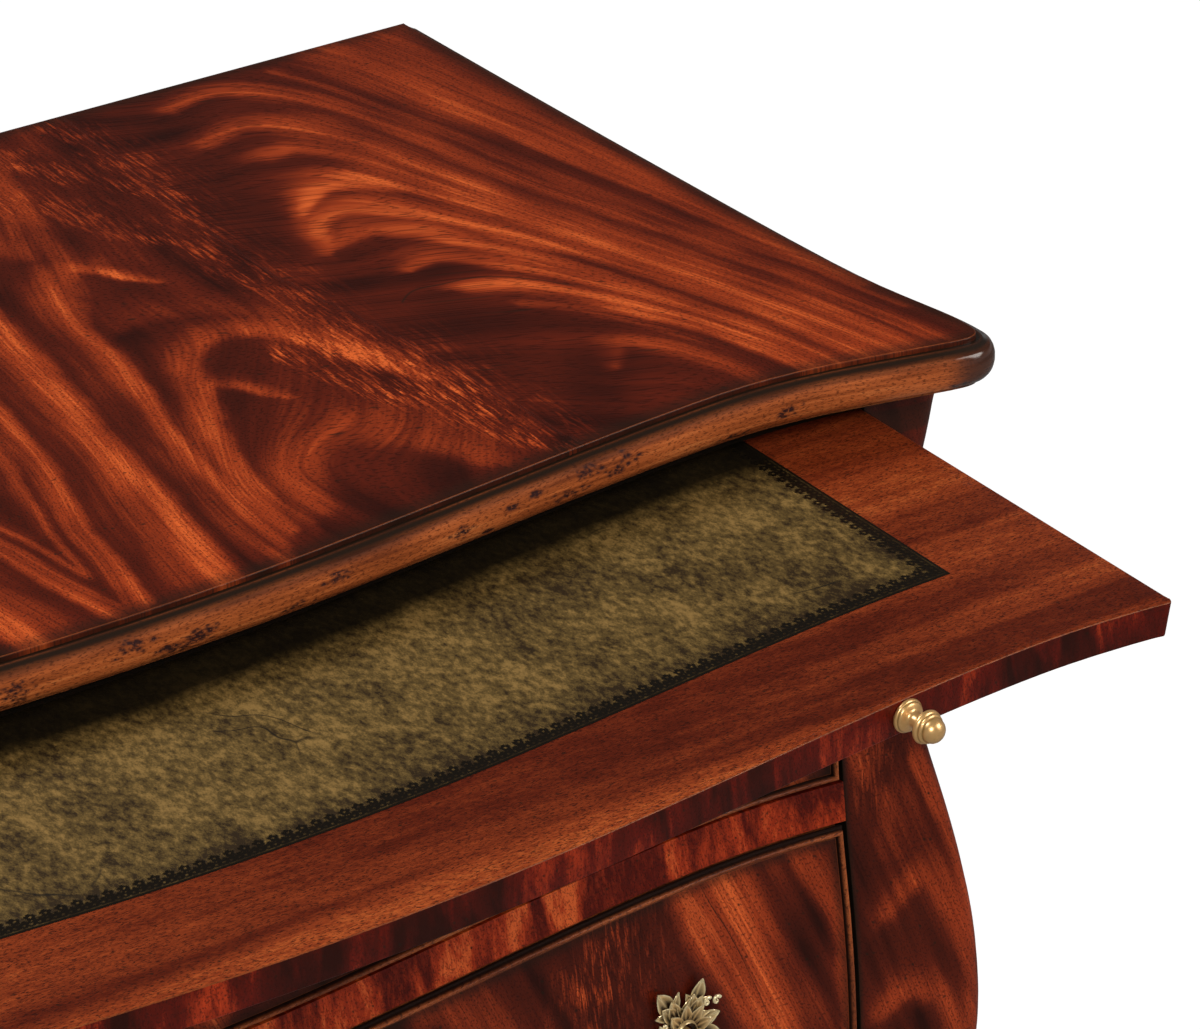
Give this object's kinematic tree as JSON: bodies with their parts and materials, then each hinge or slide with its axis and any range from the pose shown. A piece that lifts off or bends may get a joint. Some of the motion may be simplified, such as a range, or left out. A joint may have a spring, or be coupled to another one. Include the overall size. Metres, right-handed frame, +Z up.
{
  "type": "bombe chest of drawers",
  "caption": "Bombe chest with a swelled case, serpentine front, bail-handled drawers, bracket feet and a leather-lined brushing slide drawn out under the top.",
  "frame": {"origin": "on the floor, under the middle of the chest's overall width and of its overall depth with the slide drawn out", "axes": "+Z up, -Y towards the person who opens the drawers, +X to that person's right"},
  "size_m": [1.1086, 0.7721, 0.86],
  "materials": {
    "figured_mahogany": "crotch mahogany veneer, French polished",
    "solid_mahogany": "solid mahogany moulding, distressed and polished",
    "crossbanded_mahogany": "cross-banded mahogany veneer, polished",
    "straight_grain_mahogany": "straight-grain mahogany, satin polish",
    "green_leather": "olive green aniline leather with a blind-tooled border",
    "antique_brass": "cast, antiqued and lacquered",
    "secondary_wood": "plain stained hardwood, waxed",
    "screw_steel": "plain steel"
  },
  "bodies": {
    "case": {"top_panel": "figured_mahogany", "top_edge_moulding": "solid_mahogany", "stile_right": "figured_mahogany", "stile_left": "figured_mahogany", "side_right": "figured_mahogany", "side_left": "figured_mahogany", "back_panel": "secondary_wood", "back_screws": "screw_steel", "top_rail": "crossbanded_mahogany", "slide_rail": "crossbanded_mahogany", "divider_rail_upper": "crossbanded_mahogany", "divider_rail_lower": "crossbanded_mahogany", "base_rail": "crossbanded_mahogany", "bottom_board": "secondary_wood", "dust_board_upper": "secondary_wood", "dust_board_lower": "secondary_wood", "drawer_runners": "secondary_wood", "drawer_guides": "secondary_wood", "drawer_stops": "secondary_wood", "slide_bearers": "secondary_wood", "slide_kickers": "secondary_wood", "base_moulding": "solid_mahogany", "foot_front_right": "solid_mahogany", "foot_front_left": "solid_mahogany", "foot_back_right": "solid_mahogany", "foot_back_left": "solid_mahogany", "foot_blocks": "secondary_wood"},
    "brushing_slide": {"slide_board": "straight_grain_mahogany", "slide_lipping": "crossbanded_mahogany", "slide_leather": "green_leather", "slide_knob_right": "antique_brass", "slide_knob_left": "antique_brass", "slide_stop_pins": "secondary_wood"},
    "drawer_1": {"drawer_1_front": "figured_mahogany", "drawer_1_bead": "solid_mahogany", "drawer_1_sides": "secondary_wood", "drawer_1_back": "secondary_wood", "drawer_1_bottom": "secondary_wood", "drawer_1_rosettes": "antique_brass", "drawer_1_posts": "antique_brass"},
    "drawer_1_bail_left": {"drawer_1_bail_left": "antique_brass"},
    "drawer_1_bail_right": {"drawer_1_bail_right": "antique_brass"},
    "drawer_2": {"drawer_2_front": "figured_mahogany", "drawer_2_bead": "solid_mahogany", "drawer_2_sides": "secondary_wood", "drawer_2_back": "secondary_wood", "drawer_2_bottom": "secondary_wood", "drawer_2_rosettes": "antique_brass", "drawer_2_posts": "antique_brass"},
    "drawer_2_bail_left": {"drawer_2_bail_left": "antique_brass"},
    "drawer_2_bail_right": {"drawer_2_bail_right": "antique_brass"},
    "drawer_3": {"drawer_3_front": "figured_mahogany", "drawer_3_bead": "solid_mahogany", "drawer_3_sides": "secondary_wood", "drawer_3_back": "secondary_wood", "drawer_3_bottom": "secondary_wood", "drawer_3_rosettes": "antique_brass", "drawer_3_posts": "antique_brass"},
    "drawer_3_bail_left": {"drawer_3_bail_left": "antique_brass"},
    "drawer_3_bail_right": {"drawer_3_bail_right": "antique_brass"}
  },
  "joints": [
    {"name": "brushing_slide_travel", "type": "slide", "parent": "case", "child": "brushing_slide", "axis": [0, -1, 0], "range_m": [-0.2545, 0]},
    {"name": "drawer_1_bail_left_swing", "type": "hinge", "parent": "drawer_1", "child": "drawer_1_bail_left", "pos_m": [-0.30298, -0.10683, 0.687], "axis": [-0.9976, 0.0697, 0], "range_deg": [0, 100]},
    {"name": "drawer_1_bail_right_swing", "type": "hinge", "parent": "drawer_1", "child": "drawer_1_bail_right", "pos_m": [0.30298, -0.10683, 0.687], "axis": [-0.9976, -0.0697, 0], "range_deg": [0, 100]},
    {"name": "drawer_1_travel", "type": "slide", "parent": "case", "child": "drawer_1", "axis": [0, -1, 0], "range_m": [0, 0.35]},
    {"name": "drawer_2_bail_left_swing", "type": "hinge", "parent": "drawer_2", "child": "drawer_2_bail_left", "pos_m": [-0.30298, -0.13027, 0.4605], "axis": [-0.9976, 0.0697, 0], "range_deg": [0, 100]},
    {"name": "drawer_2_bail_right_swing", "type": "hinge", "parent": "drawer_2", "child": "drawer_2_bail_right", "pos_m": [0.30298, -0.13027, 0.4605], "axis": [-0.9976, -0.0697, 0], "range_deg": [0, 100]},
    {"name": "drawer_2_travel", "type": "slide", "parent": "case", "child": "drawer_2", "axis": [0, -1, 0], "range_m": [0, 0.35]},
    {"name": "drawer_3_bail_left_swing", "type": "hinge", "parent": "drawer_3", "child": "drawer_3_bail_left", "pos_m": [-0.30298, -0.11365, 0.227], "axis": [-0.9976, 0.0697, 0], "range_deg": [0, 100]},
    {"name": "drawer_3_bail_right_swing", "type": "hinge", "parent": "drawer_3", "child": "drawer_3_bail_right", "pos_m": [0.30298, -0.11365, 0.227], "axis": [-0.9976, -0.0697, 0], "range_deg": [0, 100]},
    {"name": "drawer_3_travel", "type": "slide", "parent": "case", "child": "drawer_3", "axis": [0, -1, 0], "range_m": [0, 0.35]}
  ]
}
